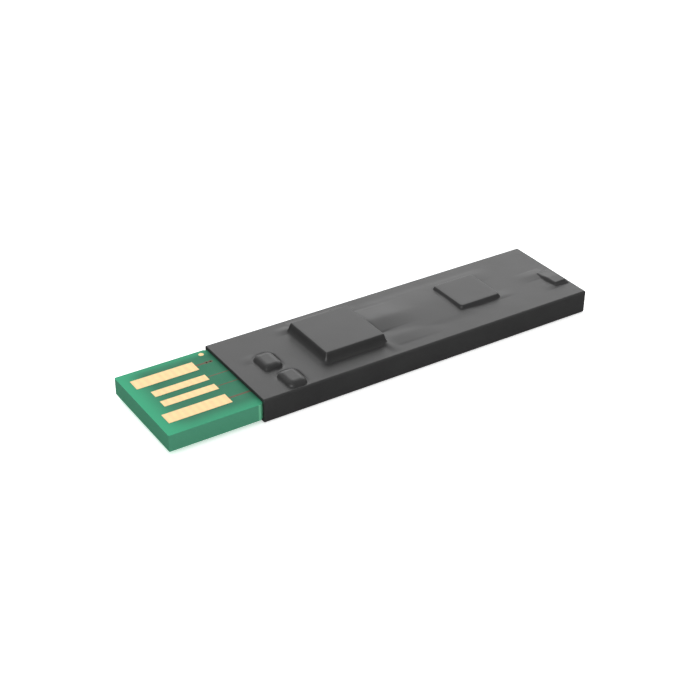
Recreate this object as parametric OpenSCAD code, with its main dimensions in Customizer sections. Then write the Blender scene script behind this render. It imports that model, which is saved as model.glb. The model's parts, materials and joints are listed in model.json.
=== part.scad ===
// USB stick programmer: a bare circuit board whose front end is the USB-A plug,
// with its electronics closed in by a heat-shrink sleeve.
// The plug's tip points along -X, the contacts face +Z, and the sleeve's underside lies on z = 0.
// Inside the modules, x runs from the plug's tip (0) to the rear, and stick_frame() centres it.

/* [Board] */
// Length of the circuit board
board_l = 51.7; // [51.6:0.1:56]
// Width of the plug end, set by the USB-A receptacle
plug_w = 12; // [11.8:0.1:12.2]
// Width of the board inside the sleeve
body_w = 11.5; // [11.2:0.1:11.6]
// Thickness of the board over both solder masks
board_t = 1.9; // [1.8:0.1:2.4]
// Length of the plug that stays bare in front of the sleeve
plug_l = 10.45; // [10.2:0.05:11.5]
// Corner radius of the board's outline
board_corner_r = 0.1; // [0.05:0.05:0.4]

/* [Contacts] */
// Length of the two outer contacts
outer_contact_l = 7; // [6.5:0.1:7.5]
// Width of the two outer contacts
outer_contact_w = 1.65; // [1:0.05:2]
// Length of the two inner contacts
inner_contact_l = 6.05; // [5.55:0.1:6.55]
// Width of the two inner contacts
inner_contact_w = 1.05; // [0.9:0.05:1.3]
// Distance from the plug's tip to the rear end of every contact
contact_rear_x = 8; // [7.8:0.05:8.5]
// Sideways shift of the contact row on the board
contact_shift = 0.15; // [0:0.05:0.2]

/* [Sleeve] */
// Wall thickness of the shrunk sleeve
sleeve_wall = 0.4; // [0.3:0.05:0.5]
// Radius along the sleeve's outer edges
sleeve_edge_r = 0.2; // [0.1:0.05:0.6]
// How far the film spreads at the foot of each bump
film_spread = 0.35; // [0.2:0.05:0.5]

/* [Chips] */
// Height of the microcontroller above the board
mcu_h = 1; // [0.8:0.05:1.2]
// Height of the radio chip above the board
radio_h = 0.6; // [0.5:0.05:0.8]

/* [Hidden] */
$fn = 32;
eps = 0.01;

// Layers, from the underside up
copper_t = 0.04;
solder_t = 0.04;
contact_t = 0.06;
board_z0 = sleeve_wall;
board_z1 = board_z0 + board_t;
core_z0 = board_z0 + copper_t;
core_z1 = board_z1 - copper_t;
part_z0 = board_z1 + solder_t;
sleeve_top = board_z1 + sleeve_wall;
sleeve_w = body_w + 2 * sleeve_wall;
total_l = board_l + sleeve_wall;

// Shoulder where the plug's width steps in just before the sleeve
shoulder_x = plug_l - 0.35;

// Contact row: 7 mm between the outer centres and 2 mm between the inner ones
ground_y = contact_shift + 3.5;
data_plus_y = contact_shift + 1;
data_minus_y = contact_shift - 1;
vbus_y = contact_shift - 3.5;

// Copper line widths
power_line_w = 0.28;
data_line_w = 0.16;
fine_line_w = 0.15;

// Vias
via_hole_r = 0.1;
via_wall_r = 0.15;
via_ring_r = 0.24;
test_pad_r = 0.28;

// Chip parts, as [length, width, height, end cap length]
size_0805 = [2, 1.25, 0.6, 0.35];
size_0402 = [1, 0.5, 0.35, 0.22];
size_0201 = [0.6, 0.3, 0.25, 0.14];
antenna_size = [3.2, 1.6, 0.45, 0.5];
land_grow = 0.05;
fillet_l = 0.11;

// Where each chip part sits, as [x from the tip, y, turned to lie along Y]
fuse_at = [14.1, -0.45, true];
input_cap_at = [14.85, -4.4, true];
load_caps_at = [[31, 1.6, false], [31, 0.1, false]];
decoupling_at = [[28.3, -3, false], [25.6, 4.6, false], [20.6, 4.6, false]];
bias_resistor_at = [33.2, 0.85, false];
matching_at = [[43.9, 0.35, false], [44.9, -0.1, true]];
antenna_at = [board_l - 0.95, -1.8, true];

// Square leadless packages, as [place, side, terminals per side, heat pad side]
mcu = [[23.1, 0.35], 7, 12, 5.4];
radio = [[40.35, 0.6], 5, 8, 3.4];
terminal_pitch = 0.5;
terminal_w = 0.25;
terminal_l = 0.4;
terminal_t = 0.2;

// Clock crystal: ceramic base and metal lid
crystal_at = [29.1, 0.85];
crystal_l = 2;
crystal_w = 1.6;
crystal_h = 0.5;
crystal_base_h = 0.3;
crystal_lid_inset = 0.12;

// Ground vias, and the gold test pad
contact_vias_at = [[9.27, ground_y], [9.73, ground_y]];
stub_vias_at = [[16.3, -5.1], [27.4, 3.6], [29.5, -3], [32.1, 0.85], [36.9, 3.2], [44.9, -0.95]];
test_pad_at = [9.52, 5.3];

// Routes of the copper lines
vbus_routes = [
    [[contact_rear_x, vbus_y], [13.7, vbus_y], [14.3, -3.5]],
    [[12.9, vbus_y], [13.8, -2.3], [14.1, -1.5]]
];
data_minus_route = [
    [contact_rear_x, data_minus_y], [10.9, data_minus_y], [12.85, 1.1], [17.3, 1.1], [17.8, 0.6], [19.9, 0.6]
];
data_plus_route = [
    [contact_rear_x, data_plus_y], [11.2, data_plus_y], [11.55, 1.5], [17.5, 1.5], [17.9, 1.1], [19.9, 1.1]
];
supply_route = [[14.4, 0.35], [14.9, 0.1], [19.7, 0.1]];
crystal_routes = [
    [[26.4, 1.1], [27.4, 1.1], [27.7, 1.35], [28.4, 1.35]],
    [[26.4, 0.6], [27.3, 0.6], [27.6, 0.85], [29.1, 0.85], [29.6, 0.4]],
    [[28.4, 1.4], [28.4, 1.9], [30.2, 1.9], [30.6, 1.6]],
    [[29.9, 0.35], [30.6, 0.1]]
];
feed_routes = [
    [[42.7, 0.35], [43.6, 0.35]],
    [[44.2, 0.35], [48.5, 0.35], [49.4, -0.4], [antenna_at[0], -0.4]],
    [[33.5, 0.85], [38, 0.85]]
];
stub_routes = [
    [[15, -5.25], [16.3, -5.1]],
    [[26.4, 3.1], [27.4, 3.6]],
    [[28.7, -3], [29.5, -3]],
    [[31.4, 1.6], [32.1, 0.85]],
    [[31.4, 0.1], [32.1, 0.85]],
    [[32.9, 0.85], [32.1, 0.85]],
    [[38, 2.35], [36.9, 3.2]],
    [[44.9, -0.4], [44.9, -0.95]]
];

// The four data lines between the chips step over in the gap between them
bus_lines = 4;
bus_start_y = -1.9;
bus_end_y = -1.15;
bus_bend_x = 33.6;

// Window that the shrunk end of the sleeve leaves round the board's rear edge
rear_window_w = 9.4;
rear_window_h = 1.1;
rear_window_r = 0.3;

// What shows through the film, as [place, [length along X, length along Y], height]
covered_parts = [
    [mcu[0], [mcu[1], mcu[1]], mcu_h],
    [radio[0], [radio[1], radio[1]], radio_h],
    [fuse_at, [size_0805[1], size_0805[0]], size_0805[2]],
    [input_cap_at, [size_0805[1], size_0805[0]], size_0805[2]],
    [antenna_at, [antenna_size[1], antenna_size[0]], antenna_size[2]],
    [[30.95, 0.85], [6, 2.2], crystal_h],
    [[28.3, -3], [1.1, 0.6], size_0402[2]],
    [[23.1, 4.6], [6.1, 0.6], size_0402[2]],
    [[44.35, 0.05], [1.8, 1], size_0201[2]]
];

// ---------- helpers ----------

module stick_frame() {
    translate([-total_l / 2, 0, 0]) children();
}

module layer(z0, z1) {
    translate([0, 0, z0]) linear_extrude(z1 - z0) children();
}

module plate(x0, x1, y0, y1) {
    translate([x0, y0]) square([x1 - x0, y1 - y0]);
}

module centred_plate(at, size) {
    translate([at[0] - size[0] / 2, at[1] - size[1] / 2]) square(size);
}

module rounded_plate(x0, x1, y0, y1, r) {
    plate(x0 + r, x1 - r, y0, y1);
    plate(x0, x1, y0 + r, y1 - r);
    for (x = [x0 + r, x1 - r], y = [y0 + r, y1 - r])
        translate([x, y]) circle(r);
}

// A copper line of one width along a list of points
module route(points, w) {
    for (i = [0:len(points) - 2]) {
        step = points[i + 1] - points[i];
        translate(points[i]) rotate(atan2(step[1], step[0]))
            translate([0, -w / 2]) square([norm(step), w]);
    }
    for (p = points) translate(p) circle(w / 2);
}

module routes(list, w) {
    for (points = list) route(points, w);
}

// Places its children at a chip part's place, turned as the part is
module placed(at) {
    translate([at[0], at[1]]) rotate(at[2] ? 90 : 0) children();
}

// Block with sloping sides: half sizes at its top, each grown by spread at its foot
module sloped_block(at, half_x, half_y, spread, z0, z1) {
    reach = 20;
    translate([at[0], at[1], 0]) intersection() {
        rotate([90, 0, 0]) translate([0, 0, -reach]) linear_extrude(2 * reach)
            sloped_profile(half_x, spread, z0, z1);
        rotate([90, 0, 90]) translate([0, 0, -reach]) linear_extrude(2 * reach)
            sloped_profile(half_y, spread, z0, z1);
    }
}

module sloped_profile(half, spread, z0, z1) {
    polygon([[-half - spread, z0], [half + spread, z0], [half, z1], [-half, z1]]);
}

// ---------- board ----------

module board_outline() {
    rounded_plate(0, shoulder_x, -plug_w / 2, plug_w / 2, board_corner_r);
    polygon([
        [shoulder_x - board_corner_r, -plug_w / 2], [shoulder_x, -plug_w / 2],
        [plug_l, -body_w / 2], [plug_l, body_w / 2],
        [shoulder_x, plug_w / 2], [shoulder_x - board_corner_r, plug_w / 2]
    ]);
    plate(shoulder_x, board_l - 1, -body_w / 2, body_w / 2);
    rounded_plate(board_l - 2, board_l, -body_w / 2, body_w / 2, board_corner_r);
}

module at_vias() {
    for (p = concat(contact_vias_at, stub_vias_at)) translate(p) children();
}

// The plane stops short of the board's edges and of the antenna
module ground_plane_shape() {
    inset = 0.4;
    plane_end_x = 45.6;
    plate(inset, plane_end_x, inset - body_w / 2, body_w / 2 - inset);
}

module board_core() {
    color("seagreen") difference() {
        layer(core_z0, core_z1) board_outline();
        layer(core_z0 - eps, core_z0 + copper_t) ground_plane_shape();
        at_vias() translate([0, 0, core_z0 - eps])
            cylinder(r = via_wall_r, h = core_z1 - core_z0 + 2 * eps);
    }
}

module top_solder_mask() {
    color("mediumseagreen") layer(core_z1, board_z1) difference() {
        board_outline();
        contacts_shape();
        lines_shape();
        lands_shape();
        at_vias() circle(via_ring_r);
        translate(test_pad_at) circle(test_pad_r);
    }
}

module bottom_solder_mask() {
    color("mediumseagreen") layer(board_z0, core_z0) board_outline();
}

module bottom_ground_plane() {
    color("peru") layer(core_z0, core_z0 + copper_t) difference() {
        ground_plane_shape();
        at_vias() circle(via_wall_r);
    }
}

module plated_vias() {
    color("peru") at_vias() difference() {
        union() {
            translate([0, 0, core_z0]) cylinder(r = via_wall_r, h = core_z1 - core_z0 + eps);
            translate([0, 0, core_z1]) cylinder(r = via_ring_r, h = copper_t);
        }
        translate([0, 0, core_z0 - eps]) cylinder(r = via_hole_r, h = board_t);
    }
}

module gold_test_pad() {
    color("gold") translate(test_pad_at) translate([0, 0, core_z1])
        cylinder(r = test_pad_r, h = contact_t);
}

// ---------- contacts ----------

module contact_shape(y, l, w) {
    plate(contact_rear_x - l, contact_rear_x, y - w / 2, y + w / 2);
}

module contacts_shape() {
    for (y = [vbus_y, ground_y]) contact_shape(y, outer_contact_l, outer_contact_w);
    for (y = [data_minus_y, data_plus_y]) contact_shape(y, inner_contact_l, inner_contact_w);
}

module contact(y, l, w) {
    color("gold") layer(core_z1, core_z1 + contact_t) contact_shape(y, l, w);
}

module vbus_contact() { contact(vbus_y, outer_contact_l, outer_contact_w); }
module data_minus_contact() { contact(data_minus_y, inner_contact_l, inner_contact_w); }
module data_plus_contact() { contact(data_plus_y, inner_contact_l, inner_contact_w); }
module ground_contact() { contact(ground_y, outer_contact_l, outer_contact_w); }

// ---------- copper lines ----------

// Each line ends where it meets a contact, a via's ring or a land
module line() {
    color("sienna") layer(core_z1, board_z1) difference() {
        children();
        contacts_shape();
        lands_shape();
        at_vias() circle(via_ring_r);
    }
}

module vbus_shape() { routes(vbus_routes, power_line_w); }
module data_minus_shape() { route(data_minus_route, data_line_w); }
module data_plus_shape() { route(data_plus_route, data_line_w); }
module ground_shape() { route([[contact_rear_x, ground_y], contact_vias_at[0]], power_line_w); }
module supply_shape() { route(supply_route, power_line_w); }
module crystal_shape() { routes(crystal_routes, fine_line_w); }
module feed_shape() { routes(feed_routes, fine_line_w); }
module stubs_shape() { routes(stub_routes, fine_line_w); }

module bus_shape() {
    stagger = 0.4;
    run = 1.3;
    for (i = [0:bus_lines - 1]) {
        y0 = bus_start_y + i * terminal_pitch;
        y1 = bus_end_y + i * terminal_pitch;
        x = bus_bend_x - i * stagger;
        route([[26.4, y0], [x, y0], [x + run, y1], [38, y1]], fine_line_w);
    }
}

// From each decoupling capacitor to the chip's nearest terminals
module capacitor_shape() {
    land_x = 0.44;
    for (at = [decoupling_at[1], decoupling_at[2]], side = [-1, 1])
        route([
            [at[0] + side * terminal_pitch / 2, 3.7],
            [at[0] + side * terminal_pitch / 2, 4],
            [at[0] + side * land_x, 4.45]
        ], fine_line_w);
    route([[26.4, -2.4], [27.2, -2.4], [27.86, -2.9]], fine_line_w);
}

module lines_shape() {
    vbus_shape();
    data_minus_shape();
    data_plus_shape();
    ground_shape();
    supply_shape();
    bus_shape();
    crystal_shape();
    capacitor_shape();
    feed_shape();
    stubs_shape();
}

module vbus_trace() { line() vbus_shape(); }
module data_minus_trace() { line() data_minus_shape(); }
module data_plus_trace() { line() data_plus_shape(); }
module ground_trace() { line() ground_shape(); }
module supply_trace() { line() supply_shape(); }
module bus_traces() { line() bus_shape(); }
module crystal_traces() { line() crystal_shape(); }
module capacitor_traces() { line() capacitor_shape(); }
module antenna_feed_line() { line() feed_shape(); }
module ground_stubs() { line() stubs_shape(); }

// ---------- lands and solder ----------

module chip_lands(at, size) {
    placed(at) for (side = [-1, 1])
        centred_plate([side * (size[0] / 2 - size[3] / 2 + land_grow), 0],
                      [size[3] + 2 * land_grow, size[1]]);
}

module package_lands(package) {
    translate(package[0]) {
        for (turn = [0:3]) rotate(90 * turn) for (i = [0:package[2] - 1])
            centred_plate([(package[1] - terminal_l) / 2,
                           (i - (package[2] - 1) / 2) * terminal_pitch],
                          [terminal_l, terminal_w]);
        centred_plate([0, 0], [package[3], package[3]]);
    }
}

module crystal_lands() {
    for (sx = [-1, 1], sy = [-1, 1])
        centred_plate([crystal_at[0] + sx * 0.65, crystal_at[1] + sy * 0.5], [0.6, 0.5]);
}

module lands_shape() {
    package_lands(mcu);
    package_lands(radio);
    crystal_lands();
    chip_lands(fuse_at, size_0805);
    chip_lands(input_cap_at, size_0805);
    for (at = load_caps_at) chip_lands(at, size_0402);
    for (at = decoupling_at) chip_lands(at, size_0402);
    chip_lands(bias_resistor_at, size_0402);
    for (at = matching_at) chip_lands(at, size_0201);
    chip_lands(antenna_at, antenna_size);
}

module component_lands() {
    color("darkgoldenrod") layer(core_z1, board_z1) lands_shape();
}

// A flat bed of solder under each end cap, and a fillet against its end
module chip_solder(at, size) {
    placed(at) for (side = [-1, 1]) {
        layer(board_z1, part_z0)
            centred_plate([side * (size[0] - size[3]) / 2, 0], [size[3], size[1]]);
        translate([side * size[0] / 2, size[1] / 2, board_z1]) rotate([90, 0, 0])
            linear_extrude(size[1])
                polygon([[0, 0], [side * fillet_l, 0], [0, size[2] / 2]]);
    }
}

module solder_joints() {
    color("silver") {
        layer(board_z1, part_z0) {
            package_lands(mcu);
            package_lands(radio);
            crystal_lands();
        }
        chip_solder(fuse_at, size_0805);
        chip_solder(input_cap_at, size_0805);
        for (at = load_caps_at) chip_solder(at, size_0402);
        for (at = decoupling_at) chip_solder(at, size_0402);
        chip_solder(bias_resistor_at, size_0402);
        for (at = matching_at) chip_solder(at, size_0201);
        chip_solder(antenna_at, antenna_size);
    }
}

// ---------- electronic parts ----------

// Moulded body of a leadless package, with pockets for its terminals and its heat pad
module package_body(package, h) {
    color("dimgray") difference() {
        layer(part_z0, board_z1 + h) centred_plate(package[0], [package[1], package[1]]);
        layer(part_z0 - eps, part_z0 + terminal_t) package_lands(package);
    }
}

module package_terminals(package) {
    color("silver") layer(part_z0, part_z0 + terminal_t) package_lands(package);
}

module microcontroller_body() { package_body(mcu, mcu_h); }
module microcontroller_terminals() { package_terminals(mcu); }
module radio_chip_body() { package_body(radio, radio_h); }
module radio_chip_terminals() { package_terminals(radio); }

// Two-ended chip part: the ceramic body lies between its metal end caps
module chip_body(at, size) {
    inset = 0.02;
    placed(at) layer(part_z0 + inset, board_z1 + size[2] - inset)
        centred_plate([0, 0], [size[0] - 2 * size[3], size[1] - 2 * inset]);
}

module chip_end_caps(at, size) {
    color("silver") placed(at) layer(part_z0, board_z1 + size[2]) for (side = [-1, 1])
        centred_plate([side * (size[0] - size[3]) / 2, 0], [size[3], size[1]]);
}

module input_fuse_body() { color("darkgreen") chip_body(fuse_at, size_0805); }
module input_fuse_end_caps() { chip_end_caps(fuse_at, size_0805); }
module input_capacitor_body() { color("tan") chip_body(input_cap_at, size_0805); }
module input_capacitor_end_caps() { chip_end_caps(input_cap_at, size_0805); }

module load_capacitor_bodies() { color("tan") for (at = load_caps_at) chip_body(at, size_0402); }
module load_capacitor_end_caps() { for (at = load_caps_at) chip_end_caps(at, size_0402); }

module decoupling_capacitor_bodies() {
    color("tan") for (at = decoupling_at) chip_body(at, size_0402);
}

module decoupling_capacitor_end_caps() { for (at = decoupling_at) chip_end_caps(at, size_0402); }
module bias_resistor_body() { color("black") chip_body(bias_resistor_at, size_0402); }
module bias_resistor_end_caps() { chip_end_caps(bias_resistor_at, size_0402); }
module matching_capacitor_bodies() { color("tan") for (at = matching_at) chip_body(at, size_0201); }
module matching_capacitor_end_caps() { for (at = matching_at) chip_end_caps(at, size_0201); }
module chip_antenna_body() { color("white") chip_body(antenna_at, antenna_size); }
module chip_antenna_end_caps() { chip_end_caps(antenna_at, antenna_size); }

module crystal_base() {
    color("wheat") layer(part_z0, part_z0 + crystal_base_h)
        centred_plate(crystal_at, [crystal_l, crystal_w]);
}

module crystal_lid() {
    half_l = crystal_l / 2 - crystal_lid_inset;
    half_w = crystal_w / 2 - crystal_lid_inset;
    color("silver") layer(part_z0 + crystal_base_h, board_z1 + crystal_h) translate(crystal_at)
        rounded_plate(-half_l, half_l, -half_w, half_w, 0.15);
}

// ---------- heat-shrink sleeve ----------

// The film over the bare board: rounded along its edges, and at its rear corners in plan
module sleeve_blank() {
    intersection() {
        translate([plug_l, 0, 0]) rotate([90, 0, 90]) linear_extrude(total_l - plug_l)
            rounded_plate(-sleeve_w / 2, sleeve_w / 2, 0, sleeve_top, sleeve_edge_r);
        layer(-1, sleeve_top + 1) union() {
            plate(plug_l, total_l - 1, -sleeve_w / 2, sleeve_w / 2);
            rounded_plate(total_l - 2, total_l, -sleeve_w / 2, sleeve_w / 2, sleeve_edge_r);
        }
    }
}

// The film's outer face over the parts, kept within the sleeve's width and length
module film_bumps() {
    cover = 0.15;
    intersection() {
        for (part = covered_parts)
            sloped_block(part[0], part[1][0] / 2 + cover, part[1][1] / 2 + cover, film_spread,
                         board_z1, sleeve_top + part[2]);
        translate([plug_l, -sleeve_w / 2, board_z1])
            cube([total_l - plug_l, sleeve_w, sleeve_top]);
    }
}

// The film's inner face: round the board, and a little clear of the parts
module sleeve_cavity() {
    clearance = 0.02;
    foot = 0.12;
    layer(board_z0, board_z1) intersection() {
        board_outline();
        plate(plug_l - 1, board_l, -body_w / 2, body_w / 2);
    }
    intersection() {
        for (part = covered_parts)
            sloped_block(part[0], part[1][0] / 2 + clearance, part[1][1] / 2 + clearance, foot,
                         board_z1 - eps, board_z1 + part[2] + clearance);
        translate([plug_l, -body_w / 2, 0]) cube([board_l - plug_l, body_w, sleeve_top + 2]);
    }
}

module rear_window() {
    mid_z = board_z0 + board_t / 2;
    translate([board_l - eps, 0, 0]) rotate([90, 0, 90]) linear_extrude(2)
        rounded_plate(-rear_window_w / 2, rear_window_w / 2,
                      mid_z - rear_window_h / 2, mid_z + rear_window_h / 2, rear_window_r);
}

module heat_shrink_sleeve() {
    color("dimgray") difference() {
        union() {
            sleeve_blank();
            film_bumps();
        }
        sleeve_cavity();
        rear_window();
    }
}

// ---------- nodes ----------

stick_frame() board_core();
stick_frame() top_solder_mask();
stick_frame() bottom_solder_mask();
stick_frame() bottom_ground_plane();
stick_frame() vbus_contact();
stick_frame() data_minus_contact();
stick_frame() data_plus_contact();
stick_frame() ground_contact();
stick_frame() vbus_trace();
stick_frame() data_minus_trace();
stick_frame() data_plus_trace();
stick_frame() ground_trace();
stick_frame() supply_trace();
stick_frame() bus_traces();
stick_frame() crystal_traces();
stick_frame() capacitor_traces();
stick_frame() antenna_feed_line();
stick_frame() ground_stubs();
stick_frame() plated_vias();
stick_frame() gold_test_pad();
stick_frame() component_lands();
stick_frame() solder_joints();
stick_frame() microcontroller_body();
stick_frame() microcontroller_terminals();
stick_frame() radio_chip_body();
stick_frame() radio_chip_terminals();
stick_frame() input_fuse_body();
stick_frame() input_fuse_end_caps();
stick_frame() input_capacitor_body();
stick_frame() input_capacitor_end_caps();
stick_frame() crystal_base();
stick_frame() crystal_lid();
stick_frame() load_capacitor_bodies();
stick_frame() load_capacitor_end_caps();
stick_frame() decoupling_capacitor_bodies();
stick_frame() decoupling_capacitor_end_caps();
stick_frame() bias_resistor_body();
stick_frame() bias_resistor_end_caps();
stick_frame() matching_capacitor_bodies();
stick_frame() matching_capacitor_end_caps();
stick_frame() chip_antenna_body();
stick_frame() chip_antenna_end_caps();
stick_frame() heat_shrink_sleeve();
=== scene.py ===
"""USB stick programmer: a green board with gold contacts, most of it inside a black heat-shrink sleeve.

The board, its copper and its soldered parts are the CAD nodes with procedural materials. The sleeve is rebuilt
here as one closed film: it is drawn down over the board, stands up over each part that it covers, and
pulls into low tents and webs between them.
"""

import json
import math

import bmesh
import bpy
import numpy as np
from mathutils import Matrix, Vector


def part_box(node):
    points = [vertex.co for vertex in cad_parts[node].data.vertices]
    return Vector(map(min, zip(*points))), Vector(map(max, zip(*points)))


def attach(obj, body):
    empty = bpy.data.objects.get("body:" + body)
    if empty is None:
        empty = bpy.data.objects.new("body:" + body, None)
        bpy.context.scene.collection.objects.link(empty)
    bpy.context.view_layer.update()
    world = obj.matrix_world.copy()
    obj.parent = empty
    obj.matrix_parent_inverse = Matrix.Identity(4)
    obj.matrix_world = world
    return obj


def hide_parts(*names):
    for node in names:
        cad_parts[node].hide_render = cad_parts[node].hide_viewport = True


MM = 0.001

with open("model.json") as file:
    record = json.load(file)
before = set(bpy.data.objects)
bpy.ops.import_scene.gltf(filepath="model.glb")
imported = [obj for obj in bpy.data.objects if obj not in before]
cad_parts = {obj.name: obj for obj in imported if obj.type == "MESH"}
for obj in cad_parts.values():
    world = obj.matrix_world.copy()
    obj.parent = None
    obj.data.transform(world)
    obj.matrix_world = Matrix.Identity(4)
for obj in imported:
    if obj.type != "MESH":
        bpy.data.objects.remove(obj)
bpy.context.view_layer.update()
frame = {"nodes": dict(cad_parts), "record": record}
nodes = frame["nodes"]


# ---------- places taken from the frame, in millimetres ----------

def box_mm(node):
    """The lower and upper corner of a node's box."""
    low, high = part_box(node)
    return np.array(low) / MM, np.array(high) / MM


core_low, core_high = box_mm("board_core")
mask_high = box_mm("top_solder_mask")[1]
under_low = box_mm("bottom_solder_mask")[0]
sleeve_low, sleeve_high = box_mm("heat_shrink_sleeve")

TIP_X = core_low[0]
BOARD_END_X = core_high[0]
BOARD_TOP = mask_high[2]
BOARD_UNDER = under_low[2]
SLEEVE_FRONT = sleeve_low[0]
SLEEVE_END = sleeve_high[0]
HALF_W = sleeve_high[1]
WALL = BOARD_UNDER - sleeve_low[2]
SLEEVE_TOP = BOARD_TOP + WALL
BODY_HALF_W = HALF_W - WALL


# ---------- the film's shape ----------

EDGE_R = 0.22            # rounding along the film's long edges
REAR_R = 0.2             # rounding where the film turns down over the rear end
LIP_R = 0.07             # rounding of the front rim
LEAST_CORNER_R = 0.05
FILM_GAP = 0.012         # clearance between the film's inner face and what it covers
INNER_COVER = 0.03       # how far the inner face reaches past a part before it falls
INNER_SLOPE = 0.12       # over what distance it falls
REAR_SLOT_HALF_W = 4.7   # half width and half height of the slot left open at the rear end
REAR_SLOT_HALF_H = 0.55

# Spacing of the mesh's places, in millimetres: over the plain film, and finer where it climbs a part.
PLAIN_STEP_ALONG = 0.26
PLAIN_STEP_ACROSS = 0.22
FINE_STEP = 0.06
INNER_PLAIN_STEP = 1.2
INNER_FINE_STEP = 0.11

# How the film lies over a raised part, in millimetres: how far its top reaches past the part, its corner
# radius in plan, the width of its rounded brow, and how far and how steeply its foot flares out. roll is the
# share of the height that the brow takes; without it the brow runs smoothly into the foot. crown is how far
# the top falls towards its edges, and over what width.
CHIP_DRAPE = {"cover": 0.17, "corner": 0.18, "brow": 0.15, "reach": 0.55, "power": 2.6, "crown": (0.022, 0.42)}
RADIO_DRAPE = {"cover": 0.2, "corner": 0.44, "brow": 0.14, "reach": 0.19, "power": 1.2, "crown": (0.026, 0.46)}
PILLOW_DRAPE = {"cover": (0.42, 0.45), "corner": 0.68, "brow": 0.62, "roll": 0.46, "reach": 0.15, "power": 1.2}
REAR_DRAPE = {"cover": (0.1, 0.06), "corner": 0.36, "brow": 0.24, "reach": 0.2, "power": 1.4}
SHELF_DRAPE = {"cover": 0.1, "corner": 0.15, "brow": 0.3, "reach": 0.7, "power": 1.6}
SNUG_DRAPE = {"cover": 0.12, "corner": 0.2, "brow": 0.12, "reach": 0.2, "power": 1.5}
LEAST_FILM = 0.1         # film kept over the parts whose bump leans away from them

# The crease behind a rounded bump: how far outside the bump it lies, and its depth and half width.
TUCK_AT = 0.17
TUCK_DEPTH = 0.1
TUCK_WIDTH = 0.16

# How high the film stands over a part, as a share of the part's own height.
RADIO_RISE = 0.74
PILLOW_RISE = 0.8
ANTENNA_RISE = 0.76
SHELF_HEIGHT = 0.15      # step of film over the capacitors on the far side, in millimetres

CLUSTER_GAP = 0.65       # vertices of one small part lie closer together than this
RIPPLE = 0.002           # the height of the film's unevenness, and the strip along its edges where it fades
RIPPLE_FADE = 0.8

# How far the film over a rounded bump leans from the part itself, in X and Y.
FUSE_LEAN = (0.22, 0.22)
INPUT_LEAN = (-0.02, 0.2)
ANTENNA_LEAN = (0.0, 0.1)


def vertices_mm(node):
    """A node's vertices, each place once."""
    mesh = nodes[node].data
    co = np.empty(len(mesh.vertices) * 3)
    mesh.vertices.foreach_get("co", co)
    return np.unique(np.round(co.reshape(-1, 3) / MM, 3), axis=0)


def clusters(node_names, gap):
    """Boxes of the groups of parts whose vertices lie within gap of each other."""
    points = np.concatenate([vertices_mm(n) for n in node_names])
    left = list(range(len(points)))
    boxes = []
    while left:
        group = [left.pop()]
        for member in group:
            near = [i for i in left if np.linalg.norm(points[i] - points[member]) <= gap]
            group.extend(near)
            left = [i for i in left if i not in near]
        boxes.append((points[group].min(0), points[group].max(0)))
    return sorted(boxes, key=lambda b: (b[0][0], b[0][1]))


def rect_distance(x, y, low, high, grow, corner):
    """Distance from a rectangle with rounded corners, negative inside."""
    cx, cy = (low[0] + high[0]) / 2, (low[1] + high[1]) / 2
    grow_x, grow_y = np.broadcast_to(grow, 2)
    hx, hy = (high[0] - low[0]) / 2 + grow_x - corner, (high[1] - low[1]) / 2 + grow_y - corner
    dx, dy = np.abs(x - cx) - hx, np.abs(y - cy) - hy
    outside = np.hypot(np.maximum(dx, 0), np.maximum(dy, 0))
    return outside + np.minimum(np.maximum(dx, dy), 0) - corner


def draped(x, y, low, high, height, drape, bulge=0.0):
    """Film over a part: a flat top, a rounded brow, then a fall that flares out, further by bulge."""
    d = rect_distance(x, y, low, high, drape["cover"], drape["corner"])
    reach = drape["reach"] * (1 + bulge)
    fall = drape["power"] / reach
    drop = drape.get("roll", fall / (2 / drape["brow"] + fall))
    t = np.clip((d + drape["brow"]) / drape["brow"], 0, 1)
    foot = (1 - drop) * np.clip(1 - d / reach, 0, 1) ** drape["power"]
    sag, width = drape.get("crown", (0.0, 1.0))
    crown = 1 - sag / height * np.clip((d + width) / width, 0, 1) ** 2
    return height * crown * np.where(d < 0, 1 - drop * t * t, foot)


def tuck(x, y, low, high, drape):
    """A crease where the film is drawn down close behind a part, on its far and rear sides."""
    d = rect_distance(x, y, low, high, drape["cover"], drape["corner"])
    behind = smooth_ramp((x - low[0]) / (high[0] - low[0])) + smooth_ramp((y - low[1]) / (high[1] - low[1]))
    return TUCK_DEPTH * np.clip(behind - 0.5, 0, 1) * np.exp(-((d - TUCK_AT) / TUCK_WIDTH) ** 2)


def smooth_ramp(t):
    """0 to 1 as t goes from 0 to 1, level at both ends."""
    t = np.clip(t, 0, 1)
    return t * t * (3 - 2 * t)


def soft_abs(v, soft):
    """Absolute value with a rounded bottom."""
    return np.sqrt(v * v + soft * soft) - soft


def soft_max(values, sharp=5.0):
    """The highest of the values, with the places where two of them meet filled in a little."""
    total = np.zeros_like(values[0])
    for v in values:
        total = total + np.maximum(v, 0) ** sharp
    return total ** (1 / sharp)


def tent(x, y, crest_y, height, far, near, start, full, fade, end, soft=0.25):
    """Film pulled straight down both sides of a crest that runs along the stick."""
    side = np.where(y > crest_y, far, near)
    across = np.clip(1 - soft_abs(y - crest_y, soft) / side, 0, 1)
    along = smooth_ramp((x - start) / (full - start)) * (1 - smooth_ramp((x - fade) / (end - fade)))
    return height * along * across * smooth_ramp(across * 3)


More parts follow.
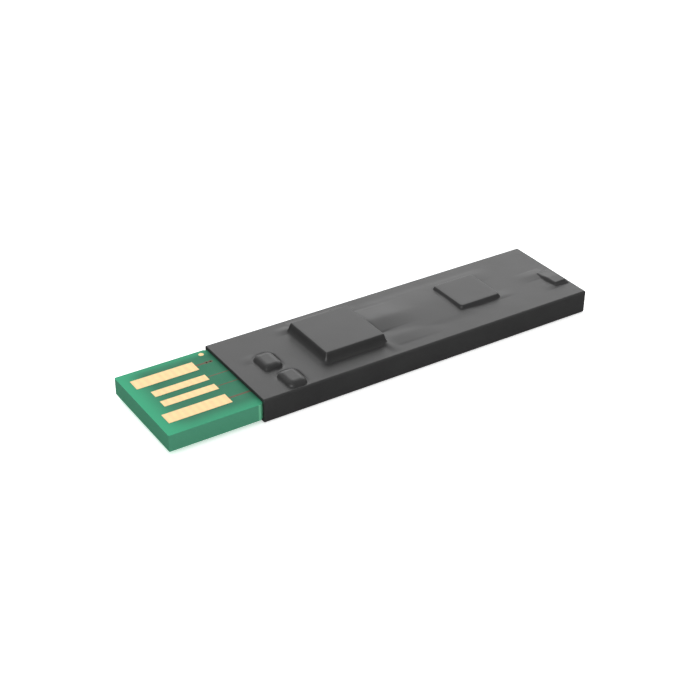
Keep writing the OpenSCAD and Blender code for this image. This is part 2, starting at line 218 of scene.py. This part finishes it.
mcu_low, mcu_high = box_mm("microcontroller_body")
radio_low, radio_high = box_mm("radio_chip_body")
fuse_low, fuse_high = box_mm("input_fuse_end_caps")
input_low, input_high = box_mm("input_capacitor_end_caps")
crystal_low, crystal_high = box_mm("crystal_base")
lid_high = box_mm("crystal_lid")[1]
antenna_low, antenna_high = box_mm("chip_antenna_end_caps")
load_boxes = clusters(["load_capacitor_bodies", "load_capacitor_end_caps"], CLUSTER_GAP)
decoupling_boxes = clusters(["decoupling_capacitor_bodies", "decoupling_capacitor_end_caps"], CLUSTER_GAP)
bias_low, bias_high = box_mm("bias_resistor_end_caps")
matching_boxes = clusters(["matching_capacitor_bodies", "matching_capacitor_end_caps"], CLUSTER_GAP)


LEANING_PILLOWS = ((fuse_low, fuse_high, FUSE_LEAN), (input_low, input_high, INPUT_LEAN))


def height_of(high):
    """How far a part with this upper corner stands above the board."""
    return high[2] - BOARD_TOP


def outer_height(x, y):
    """Height of the film's outer face above its level over the bare board.

    The bumps and folds are blended into one skin, then the creases are drawn down behind the two rounded bumps.
    """
    along = np.clip((x - radio_low[0]) / (radio_high[0] - radio_low[0]), 0, 1)
    near = smooth_ramp((radio_low[1] + 0.6 - y) / 0.6)
    radio_rise = height_of(radio_high) * (RADIO_RISE + 0.02 * along)
    radio_bulge = 2.8 * along * (1 - along) * near
    pieces = [draped(x, y, mcu_low, mcu_high, height_of(mcu_high), CHIP_DRAPE),
              draped(x, y, radio_low, radio_high, radio_rise, RADIO_DRAPE, radio_bulge)]
    for low, high, lean in LEANING_PILLOWS:
        pieces.append(draped(x - lean[0], y - lean[1], low, high, height_of(high) * PILLOW_RISE, PILLOW_DRAPE))
    rearward = smooth_ramp((x - antenna_low[0]) / (antenna_high[0] - antenna_low[0] + 0.2))
    farward = smooth_ramp((y - antenna_low[1] - 1.3) / (antenna_high[1] - antenna_low[1] - 1.3))
    antenna_rise = height_of(antenna_high) * (ANTENNA_RISE + 0.04 * rearward) * (1 - 0.6 * farward)
    pieces.append(draped(x - ANTENNA_LEAN[0], y - ANTENNA_LEAN[1], antenna_low, antenna_high, antenna_rise,
                         REAR_DRAPE))
    far_low = np.minimum.reduce([b[0] for b in decoupling_boxes if b[0][1] > 0])
    far_high = np.maximum.reduce([b[1] for b in decoupling_boxes if b[0][1] > 0])
    pieces.append(draped(x, y, far_low, far_high, SHELF_HEIGHT, SHELF_DRAPE))
    for low, high in ((fuse_low, fuse_high), (input_low, input_high), (antenna_low, antenna_high)):
        pieces.append(draped(x, y, low, high, height_of(high) + FILM_GAP + LEAST_FILM - WALL, SNUG_DRAPE))
    height = soft_max(pieces + folds(x, y))
    for low, high, lean in LEANING_PILLOWS:
        height = height - tuck(x - lean[0], y - lean[1], low, high, PILLOW_DRAPE)
    edge = smooth_ramp((HALF_W - np.abs(y)) / EDGE_R) * smooth_ramp((SLEEVE_END - x) / EDGE_R)
    return height * edge


def folds(x, y):
    """Low folds of film, over the small parts and from the chips' corners.

    All run along the stick but one, which has x and y swapped and runs across it just behind the microcontroller.
    """
    m0, m1, r0, r1 = mcu_low, mcu_high, radio_low, radio_high
    a0, a1, f0, f1 = antenna_low, antenna_high, fuse_low, fuse_high
    crest = (crystal_low[1] + crystal_high[1]) / 2
    near_cap = [low for low, high in decoupling_boxes if high[1] < 0][0]
    return [
        tent(x, y, crest, 0.37, 3.1, 2.6, m1[0] - 0.8, m1[0] + 1.0, crystal_high[0] - 1.1, r0[0] - 0.8, 0.45),
        tent(x, y, crest + 0.2, 0.16, 3.0, 4.0, m1[0], m1[0] + 3, r0[0] + 0.5, r0[0] + 2.0, 1.2),
        tent(x, y, near_cap[1] + 0.3, 0.12, 1.5, 1.6, m1[0] - 0.6, m1[0] + 0.4, near_cap[0] + 0.8, r0[0] - 3, 0.4),
        tent(x, y, m0[1] - 0.3, 0.1, 0.9, 0.6, m1[0] - 0.6, m1[0] + 0.2, m1[0] + 0.3, m1[0] + 2.5),
        tent(y, x, m1[0] + 0.15, 0.15, 1.0, 0.5, m0[1] - 2.6, m0[1] - 0.5, m0[1] - 0.1, m0[1] + 0.6, 0.15),
        tent(x, y, m1[1] + 0.4, 0.12, 0.6, 0.6, m0[0] - 2, m0[0] - 0.1, m1[0] - 0.5, m1[0] + 2),
        tent(x, y, r1[1] + 0.35, 0.08, 0.9, 1.6, r0[0] - 3, r0[0] - 0.1, r1[0], r1[0] + 3.5),
        tent(x, y, r0[1] - 0.1, 0.05, 1.0, 0.4, r1[0] - 0.4, r1[0] + 0.1, r1[0] + 0.3, r1[0] + 2.6),
        tent(x, y, a1[1] + 0.1, 0.1, 0.9, 1.0, a0[0] - 3.4, a0[0] - 0.1, a0[0], a0[0] + 1.2),
        tent(x, y, a0[1] + 0.1, 0.07, 1.0, 0.4, a0[0] - 1.8, a0[0], a0[0] + 0.1, a0[0] + 1.2),
        tent(x, y, f1[1] + 0.5, 0.05, 0.7, 0.5, f0[0] - 1.8, f0[0] - 0.3, f0[0], f0[0] + 0.6),
    ]


def inner_height(x, y):
    """Height of the film's inner face above the board: close over each part, with a short slope."""
    height = np.zeros_like(x + y)
    for low, high in all_parts():
        d = rect_distance(x, y, low, high, INNER_COVER, 0.02)
        rise = (height_of(high) + FILM_GAP) * np.clip(1 - d / INNER_SLOPE, 0, 1)
        height = np.maximum(height, rise)
    inside = (np.abs(y) < BODY_HALF_W) & (x < BOARD_END_X)
    return height * inside


def all_parts():
    """Boxes of every part under the film."""
    crystal = (crystal_low, np.array([crystal_high[0], crystal_high[1], lid_high[2]]))
    return [(mcu_low, mcu_high), (radio_low, radio_high), (fuse_low, fuse_high), (input_low, input_high),
            (antenna_low, antenna_high), (bias_low, bias_high), crystal] \
        + load_boxes + decoupling_boxes + matching_boxes


def ripple(x, y):
    """The film's slight unevenness, which dies out towards its long edges."""
    fade = smooth_ramp((HALF_W - np.abs(y)) / RIPPLE_FADE)
    return fade * RIPPLE * np.sin(1.9 * x + 0.7 * np.sin(1.3 * y)) * np.sin(1.1 * y + 0.6 * np.sin(0.8 * x + 1))


def stations(low, high, step, fine_step, fine_spans):
    """Sample places from low to high, closer together within the fine spans."""
    places = list(np.linspace(low, high, int(round((high - low) / step)) + 1))
    for a, b in fine_spans:
        a, b = max(a, low), min(b, high)
        if b > a:
            places += list(np.linspace(a, b, int(round((b - a) / fine_step)) + 2))
    places = np.unique(np.round(places, 4))
    keep = [places[0]]
    for p in places[1:-1]:
        if p - keep[-1] >= fine_step * 0.7:
            keep.append(p)
    if places[-1] - keep[-1] < fine_step * 0.7:
        keep.pop()
    return np.array(keep + [places[-1]])


def fine_spans(axis):
    """Where the film climbs: just inside and outside each raised part's edges."""
    inside, outside = 0.26, 0.52
    spans = []
    for low, high in ((mcu_low, mcu_high), (radio_low, radio_high), (antenna_low, antenna_high)):
        spans.append((low[axis] - outside, low[axis] + inside))
        spans.append((high[axis] - inside, high[axis] + outside))
    for low, high, _ in LEANING_PILLOWS:
        spans.append((low[axis] - outside, high[axis] + 0.9))
    return spans


def section(half_w, bottom, top, corner, top_y, side_steps=5, corner_steps=7, bottom_steps=24):
    """Points (y, z, weight) round a rounded rectangle, from its top's -Y end; weight is 1 on top and 0 elsewhere."""
    flat = half_w - corner
    side = top - bottom - 2 * corner

    def turn(middle_y, middle_z, start, weight):
        for k in range(1, corner_steps):
            a = start - math.pi / 2 * k / corner_steps
            points.append((middle_y + corner * math.cos(a), middle_z + corner * math.sin(a), weight))

    points = [(flat * t, top, 1.0) for t in top_y]
    turn(flat, top - corner, math.pi / 2, 1.0)
    points += [(half_w, top - corner - side * k / side_steps, 0.0) for k in range(side_steps + 1)]
    turn(flat, bottom + corner, 0.0, 0.0)
    points += [(flat - 2 * flat * k / bottom_steps, bottom, 0.0) for k in range(bottom_steps + 1)]
    turn(-flat, bottom + corner, -math.pi / 2, 0.0)
    points += [(-half_w, bottom + corner + side * k / side_steps, 0.0) for k in range(side_steps + 1)]
    turn(-flat, top - corner, math.pi, 1.0)
    return np.array(points)


def outer_ring(x, top_y, inset=0.0):
    """The outer face's section at x, drawn in by inset near either end."""
    corner = max(EDGE_R - inset, LEAST_CORNER_R)
    ring = section(HALF_W - inset, sleeve_low[2] + inset, SLEEVE_TOP - inset, corner, top_y)
    y, z, weight = ring.T
    lift = outer_height(np.full_like(y, x), y) + ripple(x, y)
    return np.column_stack([np.full_like(y, x), y, z + lift * weight])


def inner_ring(x, top_y):
    """The inner face's section at x, just clear of the board."""
    ring = section(BODY_HALF_W + FILM_GAP, BOARD_UNDER - FILM_GAP, BOARD_TOP + FILM_GAP, LEAST_CORNER_R,
                   top_y)
    y, z, weight = ring.T
    top_face = weight * (z > BOARD_TOP)
    return np.column_stack([np.full_like(y, x), y, z + inner_height(np.full_like(y, x), y) * top_face])


def window_ring(x, top_y, half_w, half_h):
    """A flat ring at x, centred on the board's thickness."""
    middle = (BOARD_UNDER + BOARD_TOP) / 2
    ring = section(half_w, middle - half_h, middle + half_h, min(half_h, 0.35), top_y)
    return np.column_stack([np.full(len(ring), x), ring[:, 0], ring[:, 1]])


def sleeve_rings():
    """Rings from the front rim's inner edge, over the outside, round the rear end and back along the inside."""
    flat = HALF_W - EDGE_R
    top_y = stations(-flat, flat, PLAIN_STEP_ACROSS, FINE_STEP, fine_spans(1)) / flat
    rings = [outer_ring(SLEEVE_FRONT, top_y, 0.3), outer_ring(SLEEVE_FRONT, top_y, 0.18)]
    for k in range(6):
        a = math.pi / 2 * k / 5
        rings.append(outer_ring(SLEEVE_FRONT + LIP_R * (1 - math.cos(a)), top_y, LIP_R * (1 - math.sin(a))))
    along = stations(SLEEVE_FRONT + LIP_R + 0.05, SLEEVE_END - REAR_R, PLAIN_STEP_ALONG, FINE_STEP, fine_spans(0))
    rings += [outer_ring(x, top_y) for x in along]
    for k in range(1, 7):
        a = math.pi / 2 * k / 6
        rings.append(outer_ring(SLEEVE_END - REAR_R * (1 - math.sin(a)), top_y, REAR_R * (1 - math.cos(a))))
    rings += rear_end_rings(rings[-1], top_y)
    inner_spans = [(low[0] - 0.2, low[0] + 0.1) for low, high in all_parts()]
    inner_spans += [(high[0] - 0.1, high[0] + 0.2) for low, high in all_parts()]
    inside = stations(SLEEVE_FRONT + 0.04, BOARD_END_X - 0.05, INNER_PLAIN_STEP, INNER_FINE_STEP, inner_spans)
    rings += [inner_ring(x, top_y) for x in inside[::-1]]
    rings.append(inner_ring(SLEEVE_FRONT, top_y))
    return rings


def rear_end_rings(outer_end, top_y):
    """The film drawn in, slightly puckered, from the outer face's last ring to the slot, and through the slot."""
    steps, pucker_depth, pucker_count, dent = 10, 0.035, 14, 0.05
    rim = window_ring(SLEEVE_END, top_y, REAR_SLOT_HALF_W, REAR_SLOT_HALF_H)
    rings = []
    for k in range(1, steps + 1):
        t = k / steps
        ring = outer_end * (1 - t) + rim * t
        angle = np.arctan2(ring[:, 2] - (BOARD_UNDER + BOARD_TOP) / 2, ring[:, 1] * 0.35)
        pucker = pucker_depth * math.sin(math.pi * t) * np.sin(angle * pucker_count + 0.8 * np.sin(3 * angle))
        ring[:, 0] = SLEEVE_END - dent * math.sin(math.pi * t) + pucker
        rings.append(ring)
    throat_w, throat_h = REAR_SLOT_HALF_W - 0.04, REAR_SLOT_HALF_H - 0.05
    rings.append(window_ring(SLEEVE_END - 0.08, top_y, throat_w, throat_h))
    rings.append(window_ring(BOARD_END_X + 0.08, top_y, throat_w, throat_h))
    rings.append(window_ring(BOARD_END_X + FILM_GAP, top_y, REAR_SLOT_HALF_W + 0.05, REAR_SLOT_HALF_H + 0.05))
    rings.append(inner_ring(BOARD_END_X + FILM_GAP, top_y))
    return rings


def mesh_object(name, verts_mm, faces):
    """A smooth-shaded object in the scene, from vertices in millimetres."""
    mesh = bpy.data.meshes.new(name)
    mesh.from_pydata((np.asarray(verts_mm) * MM).tolist(), [], faces)
    mesh.validate()
    mesh.shade_smooth()
    obj = bpy.data.objects.new(name, mesh)
    bpy.context.scene.collection.objects.link(obj)
    return obj


def build_sleeve():
    """The film as one closed skin: each ring joined to the next, and the last to the first."""
    rings = sleeve_rings()
    count, width = len(rings), len(rings[0])
    verts = np.concatenate(rings)
    faces = []
    for i in range(count):
        a, b = i * width, ((i + 1) % count) * width
        for j in range(width):
            k = (j + 1) % width
            faces.append((a + j, a + k, b + k, b + j))
    sleeve = mesh_object("shrunk_sleeve", verts, faces)
    bm = bmesh.new()
    bm.from_mesh(sleeve.data)
    bmesh.ops.recalc_face_normals(bm, faces=bm.faces)
    bm.to_mesh(sleeve.data)
    bm.free()
    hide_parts("heat_shrink_sleeve")
    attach(sleeve, "root")
    return sleeve


# ---------- materials ----------

class Paint:
    """A Principled material whose colour, roughness and bump come from nodes in millimetre space."""

    def __init__(self, name, roughness, metallic=0.0, specular=0.5):
        self.material = bpy.data.materials.new(name)
        self.material.use_nodes = True
        self.tree = self.material.node_tree
        self.shader = self.tree.nodes["Principled BSDF"]
        self.shader.inputs["Metallic"].default_value = metallic
        self.shader.inputs["Specular IOR Level"].default_value = specular
        self.roughness = roughness
        place = self.node("ShaderNodeTexCoord")
        scale = self.node("ShaderNodeMapping")
        scale.inputs["Scale"].default_value = (1 / MM,) * 3
        self.link(place.outputs["Object"], scale.inputs["Vector"])
        self.mm = scale.outputs["Vector"]

    def node(self, kind, **values):
        """A new shader node with the given attributes."""
        made = self.tree.nodes.new(kind)
        for key, value in values.items():
            setattr(made, key, value)
        return made

    def link(self, source, target):
        self.tree.links.new(source, target)

    def noise(self, scale, detail=4.0, stretch=(1, 1, 1)):
        """Noise in millimetre space; a stretch below 1 draws it out along that axis."""
        vector = self.mm
        if stretch != (1, 1, 1):
            bend = self.node("ShaderNodeMapping")
            bend.inputs["Scale"].default_value = stretch
            self.link(self.mm, bend.inputs["Vector"])
            vector = bend.outputs["Vector"]
        made = self.node("ShaderNodeTexNoise")
        made.inputs["Scale"].default_value = scale
        made.inputs["Detail"].default_value = detail
        self.link(vector, made.inputs["Vector"])
        return made.outputs["Fac"]

    def wave(self, scale, distortion, direction):
        """Soft bands that follow each other along direction, in millimetre space."""
        made = self.node("ShaderNodeTexWave", bands_direction=direction)
        made.inputs["Scale"].default_value = scale
        made.inputs["Distortion"].default_value = distortion
        self.link(self.mm, made.inputs["Vector"])
        return made.outputs["Fac"]

    def axis(self, name):
        """The X, Y or Z place in millimetres."""
        split = self.node("ShaderNodeSeparateXYZ")
        self.link(self.mm, split.inputs["Vector"])
        return split.outputs[name]

    def remap(self, source, from_low, from_high, to_low, to_high, smooth=False):
        """Source moved from one range to another, and held within it."""
        made = self.node("ShaderNodeMapRange")
        made.interpolation_type = "SMOOTHSTEP" if smooth else "LINEAR"
        for key, value in (("From Min", from_low), ("From Max", from_high), ("To Min", to_low), ("To Max", to_high)):
            made.inputs[key].default_value = value
        self.link(source, made.inputs["Value"])
        return made.outputs["Result"]

    def maths(self, operation, a, b):
        """The operation on two numbers or outputs."""
        made = self.node("ShaderNodeMath", operation=operation)
        for slot, value in zip(made.inputs, (a, b)):
            if isinstance(value, (int, float)):
                slot.default_value = value
            else:
                self.link(value, slot)
        return made.outputs["Value"]

    def blend(self, amount, first, second):
        """A colour between two colours, or outputs that carry one."""
        made = self.node("ShaderNodeMix", data_type="RGBA")
        self.link(amount, made.inputs["Factor"])
        for slot, value in ((made.inputs["A"], first), (made.inputs["B"], second)):
            if isinstance(value, tuple):
                slot.default_value = (*value, 1.0)
            else:
                self.link(value, slot)
        return made.outputs["Result"]

    def finish(self, colour, rough_from, bump_from, depth_mm, rough_spread):
        """Join up colour, a roughness that varies by rough_spread, and bump of the given depth."""
        self.link(colour, self.shader.inputs["Base Color"])
        low, high = self.roughness - rough_spread, self.roughness + rough_spread
        self.link(self.remap(rough_from, 0.3, 0.7, max(low, 0.02), min(high, 1)), self.shader.inputs["Roughness"])
        bump = self.node("ShaderNodeBump")
        bump.inputs["Distance"].default_value = depth_mm * MM
        bump.inputs["Strength"].default_value = 1.0
        self.link(bump_from, bump.inputs["Height"])
        self.link(bump.outputs["Normal"], self.shader.inputs["Normal"])
        return self.material


def film_material():
    """Black polyolefin film: an even satin skin with a very fine grain, a little paler along its long edges, partly
    as edge wear and partly as a painted highlight.
    """
    paint = Paint("black_film", roughness=0.42, specular=0.188)
    cloud = paint.noise(0.3)
    grain = paint.noise(9.0)
    drawn = paint.noise(1.4, 3.0, (0.3, 1, 1))
    colour = paint.blend(paint.remap(cloud, 0.3, 0.7, 0, 1), (0.0245, 0.0245, 0.0248), (0.0290, 0.0290, 0.0290))
    # Paler along the long edges, in patches from the grain: partly edge wear, partly a painted highlight.
    wear_and_highlight_edges = paint.remap(paint.maths("ABSOLUTE", paint.axis("Y"), 0.0), HALF_W - 0.5, HALF_W - 0.1, 0, 1, True)
    wear_and_highlight_scuffs = paint.maths("MULTIPLY", wear_and_highlight_edges, paint.remap(grain, 0.45, 0.7, 0, 0.35))
    colour = paint.blend(wear_and_highlight_scuffs, colour, (0.035, 0.035, 0.035))
    height = paint.maths("ADD", paint.maths("MULTIPLY", grain, 0.7), paint.maths("MULTIPLY", drawn, 0.3))
    return paint.finish(colour, cloud, height, 0.0022, 0.02)


def mask_material():
    """Green solder mask: darker over copper, with painted light that makes it paler towards the tip and the near and
    far edges, and the weave showing.
    """
    paint = Paint("green_solder_mask", roughness=0.6, specular=0.04)
    cloud = paint.noise(0.5)
    fine = paint.noise(9.0, 3.0)
    weave = paint.maths("MULTIPLY", paint.wave(1.6, 0.3, "X"), paint.wave(1.6, 0.3, "Y"))
    body = paint.blend(paint.remap(cloud, 0.3, 0.7, 0, 1), (0.036, 0.162, 0.096), (0.045, 0.184, 0.110))
    # Painted light: the mask is made paler towards the tip and towards both long edges.
    tip = paint.remap(paint.axis("X"), TIP_X, TIP_X + 3.2, 1, 0, True)
    near = paint.remap(paint.axis("Y"), core_low[1], core_low[1] + 1.9, 0.7, 0, True)
    far = paint.remap(paint.axis("Y"), core_high[1] - 1.3, core_high[1], 0, 0.7, True)
    sides = paint.maths("MAXIMUM", near, far)
    painted_light_tip_and_edges = paint.maths("SUBTRACT", paint.maths("ADD", tip, sides), paint.maths("MULTIPLY", tip, sides))
    body = paint.blend(painted_light_tip_and_edges, body, (0.050, 0.350, 0.190))
    body = paint.blend(paint.remap(weave, 0.0, 1.0, 0, 0.08), body, (0.08, 0.36, 0.21))
    height = paint.maths("ADD", paint.maths("MULTIPLY", fine, 0.4), paint.maths("MULTIPLY", weave, 0.6))
    return paint.finish(body, fine, height, 0.004, 0.06)


def shoulder_start():
    """Where the board starts to narrow just before the sleeve."""
    corners = vertices_mm("board_core")
    widest = corners[np.abs(corners[:, 1]) > core_high[1] - 0.01]
    return widest[:, 0].max()


def laminate_material():
    """Glass-epoxy edge, dyed green: thin plies with short glass ends, painted shade that darkens the tip face, and
    painted light that makes the narrowed shoulder paler.
    """
    paint = Paint("green_laminate", roughness=0.6, specular=0.1)
    plies = paint.wave(1.9, 0.8, "Z")
    fibre = paint.noise(3.0, 5.0, (1, 1, 7))
    speck = paint.noise(14.0, 2.0)
    colour = paint.blend(paint.remap(fibre, 0.3, 0.7, 0, 1), (0.046, 0.204, 0.122), (0.054, 0.230, 0.139))
    colour = paint.blend(paint.remap(plies, 0.4, 1.0, 0, 0.2), colour, (0.070, 0.25, 0.155))
    colour = paint.blend(paint.remap(speck, 0.62, 0.74, 0, 0.3), colour, (0.10, 0.30, 0.19))
    # Painted shade: the tip face is made darker.
    tip = paint.remap(paint.axis("X"), TIP_X, TIP_X + 0.06, 0.85, 0)
    colour = paint.blend(tip, colour, (0.038, 0.186, 0.108))
    shoulder = shoulder_start()
    # Painted light: the narrowed shoulder just before the sleeve is made paler.
    painted_light_shoulder = paint.remap(paint.axis("X"), shoulder - 0.24, shoulder - 0.18, 0, 0.9)
    colour = paint.blend(painted_light_shoulder, colour, (0.11, 0.38, 0.22))
    height = paint.maths("ADD", paint.maths("MULTIPLY", fibre, 0.6), paint.maths("MULTIPLY", plies, 0.4))
    return paint.finish(colour, fibre, height, 0.008, 0.08)


def gold_material():
    """Gold plate: fine brushed grain, with faint rosy bands across each contact."""
    paint = Paint("gold_plate", roughness=0.5, metallic=0.25, specular=0.1)
    bands = paint.wave(0.42, 1.5, "X")
    grain = paint.noise(11.0, 3.0, (0.4, 1, 1))
    cloud = paint.noise(1.2)
    colour = paint.blend(paint.remap(bands, 0.2, 0.8, 0, 1), (0.71, 0.52, 0.262), (0.72, 0.475, 0.250))
    colour = paint.blend(paint.remap(cloud, 0.4, 0.75, 0, 0.5), colour, (0.74, 0.545, 0.290))
    colour = paint.blend(paint.remap(grain, 0.55, 0.8, 0, 0.2), colour, (0.58, 0.41, 0.21))
    return paint.finish(colour, grain, grain, 0.003, 0.08)


def metal_material(name, light, dark, roughness):
    """Plain metal with tarnish in patches and a fine grain."""
    paint = Paint(name, roughness=roughness, metallic=1.0)
    grain = paint.noise(8.0)
    patches = paint.noise(1.5, 5.0)
    colour = paint.blend(paint.remap(patches, 0.35, 0.7, 0, 1), light, dark)
    colour = paint.blend(paint.remap(grain, 0.6, 0.8, 0, 0.4), colour, dark)
    return paint.finish(colour, patches, grain, 0.006, 0.12)


def masked_copper_material():
    """Copper under the mask: brown through green, brighter where the mask thins."""
    paint = Paint("masked_copper", roughness=0.6, specular=0.06)
    patches = paint.noise(2.0)
    grain = paint.noise(10.0, 3.0)
    colour = paint.blend(paint.remap(patches, 0.3, 0.7, 0, 1), (0.112, 0.096, 0.064), (0.145, 0.118, 0.086))
    colour = paint.blend(paint.remap(grain, 0.55, 0.8, 0, 0.4), colour, (0.06, 0.12, 0.07))
    return paint.finish(colour, grain, patches, 0.004, 0.06)


def moulding_material(name, dark, light, roughness):
    """Cast or moulded surface: mottled, with a fine pitted skin."""
    paint = Paint(name, roughness=roughness, specular=0.4)
    pits = paint.noise(6.0, 5.0)
    cloud = paint.noise(0.9, 3.0)
    colour = paint.blend(paint.remap(cloud, 0.3, 0.7, 0, 1), dark, light)
    colour = paint.blend(paint.remap(pits, 0.6, 0.8, 0, 0.5), colour, light)
    return paint.finish(colour, cloud, pits, 0.01, 0.08)


def slot_materials():
    """One material for each material slot of the record."""
    return {
        "laminate": laminate_material(),
        "solder_mask": mask_material(),
        "copper": metal_material("bare_copper", (0.80, 0.42, 0.26), (0.45, 0.22, 0.13), 0.35),
        "masked_copper": masked_copper_material(),
        "gold_plating": gold_material(),
        "solder": metal_material("reflowed_solder", (0.72, 0.72, 0.70), (0.40, 0.40, 0.39), 0.38),
        "tinned_metal": metal_material("matte_tin", (0.70, 0.70, 0.68), (0.45, 0.45, 0.44), 0.5),
        "chip_moulding": moulding_material("chip_epoxy", (0.012, 0.012, 0.013), (0.028, 0.028, 0.030), 0.6),
        "fuse_resin": moulding_material("fuse_resin", (0.010, 0.050, 0.022), (0.022, 0.085, 0.040), 0.45),
        "capacitor_ceramic": moulding_material("capacitor_ceramic", (0.24, 0.15, 0.085), (0.36, 0.25, 0.15), 0.5),
        "resistor_glaze": moulding_material("resistor_glaze", (0.010, 0.010, 0.010), (0.030, 0.028, 0.026), 0.3),
        "pale_ceramic": moulding_material("pale_ceramic", (0.58, 0.55, 0.48), (0.72, 0.70, 0.64), 0.5),
        "lid_metal": metal_material("lid_metal", (0.66, 0.64, 0.60), (0.45, 0.43, 0.40), 0.3),
        "sleeve_film": film_material(),
    }


def paint_nodes(materials):
    """Give each CAD node the material of its slot."""
    for part in frame["record"]["subparts"]:
        mesh = nodes[part["node"]].data
        mesh.materials.clear()
        mesh.materials.append(materials[part["material_slot"]])


# ---------- stage, lights and camera ----------

FLOOR_HALF = 1.5         # metres
FLOOR_DROP = 0.02        # millimetres below the film's underside, so that the two faces don't coincide
FLOOR_GLOW = 0.5

# The world's strength above and below, and the heights of the direction between which it changes.
WORLD_ABOVE = 0.8
WORLD_BELOW = 0.08
WORLD_RAMP = (-0.12, 0.02)

# The photo's camera: angles in degrees, distance and aim in millimetres.
CAMERA_AZIMUTH = -33.524
CAMERA_ELEVATION = 31.671
CAMERA_ROLL = 0.799
CAMERA_DISTANCE = 149.452
CAMERA_LENS = 73.5
SENSOR_WIDTH = 36
AIM_FROM_TIP = 23.132
AIM_Y = -2.129


def stage_material():
    """Pale, nearly even floor with a glow of its own, which keeps the contact shadow faint."""
    paint = Paint("pale_floor", roughness=0.9, specular=0.1)
    cloud = paint.noise(0.02, 2.0)
    colour = paint.blend(paint.remap(cloud, 0.3, 0.7, 0, 1), (0.90, 0.90, 0.90), (0.92, 0.92, 0.92))
    paint.shader.inputs["Emission Color"].default_value = (1.0, 1.0, 1.0, 1.0)
    paint.shader.inputs["Emission Strength"].default_value = FLOOR_GLOW
    return paint.finish(colour, cloud, cloud, 0.001, 0.02)


def build_stage():
    """The floor. It is hidden from reflections, so the film's sides mirror the dim lower half of the world."""
    h = FLOOR_HALF / MM
    z = sleeve_low[2] - FLOOR_DROP
    floor = mesh_object("floor", [(-h, -h, z), (h, -h, z), (h, h, z), (-h, h, z)], [(0, 1, 2, 3)])
    floor.data.materials.append(stage_material())
    floor.visible_glossy = False


def area_light(name, direction, distance, size, power):
    """A soft light at distance (metres) along direction, turned to face the stick."""
    data = bpy.data.lights.new(name, "AREA")
    data.shape = "RECTANGLE"
    data.size, data.size_y = size
    data.energy = power
    light = bpy.data.objects.new(name, data)
    bpy.context.scene.collection.objects.link(light)
    where = Vector(direction).normalized() * distance
    light.matrix_world = Matrix.Translation(where) @ where.to_track_quat("Z", "Y").to_matrix().to_4x4()
    return light


def build_lights():
    """A world that is bright above and dim below, two soft boxes, and a small light that only reflects."""
    world = bpy.data.worlds.new("studio")
    bpy.context.scene.world = world
    world.use_nodes = True
    tree = world.node_tree
    background = tree.nodes["Background"]
    background.inputs["Color"].default_value = (1.0, 1.0, 1.0, 1.0)
    split = tree.nodes.new("ShaderNodeSeparateXYZ")
    ramp = tree.nodes.new("ShaderNodeMapRange")
    for key, value in (("From Min", WORLD_RAMP[0]), ("From Max", WORLD_RAMP[1]),
                       ("To Min", WORLD_BELOW), ("To Max", WORLD_ABOVE)):
        ramp.inputs[key].default_value = value
    tree.links.new(tree.nodes.new("ShaderNodeTexCoord").outputs["Generated"], split.inputs["Vector"])
    tree.links.new(split.outputs["Z"], ramp.inputs["Value"])
    tree.links.new(ramp.outputs["Result"], background.inputs["Strength"])
    area_light("rear_softbox", (0.47, 0.71, 0.48), 0.60, (0.62, 0.42), 2.5)
    area_light("overhead", (-0.2, 0.1, 1.0), 0.7, (0.5, 0.5), 0.8)
    glint = area_light("corner_glint", (-0.78, -0.54, 0.29), 0.50, (0.26, 0.26), 3.0)
    glint.visible_diffuse = False


def build_camera():
    """The camera at the place and angle that were fitted to the photo."""
    azimuth, elevation = math.radians(CAMERA_AZIMUTH), math.radians(CAMERA_ELEVATION)
    back = Vector((math.sin(azimuth) * math.cos(elevation),
                   -math.cos(azimuth) * math.cos(elevation),
                   math.sin(elevation)))
    aim = Vector((TIP_X + AIM_FROM_TIP, AIM_Y, BOARD_TOP)) * MM
    right = (-back).cross(Vector((0, 0, 1))).normalized()
    up = right.cross(-back)
    roll = math.radians(CAMERA_ROLL)
    turned_right = right * math.cos(roll) + up * math.sin(roll)
    turned_up = up * math.cos(roll) - right * math.sin(roll)
    data = bpy.data.cameras.new("camera")
    data.lens = CAMERA_LENS
    data.sensor_width = SENSOR_WIDTH
    data.clip_start = 0.01
    camera = bpy.data.objects.new("camera", data)
    bpy.context.scene.collection.objects.link(camera)
    turn = Matrix((turned_right, turned_up, back)).transposed().to_4x4()
    camera.matrix_world = Matrix.Translation(aim + back * CAMERA_DISTANCE * MM) @ turn
    bpy.context.scene.camera = camera


materials = slot_materials()
paint_nodes(materials)
sleeve = build_sleeve()
sleeve.data.materials.append(materials["sleeve_film"])
build_stage()
build_lights()
build_camera()
bpy.context.scene.view_settings.view_transform = "Standard"
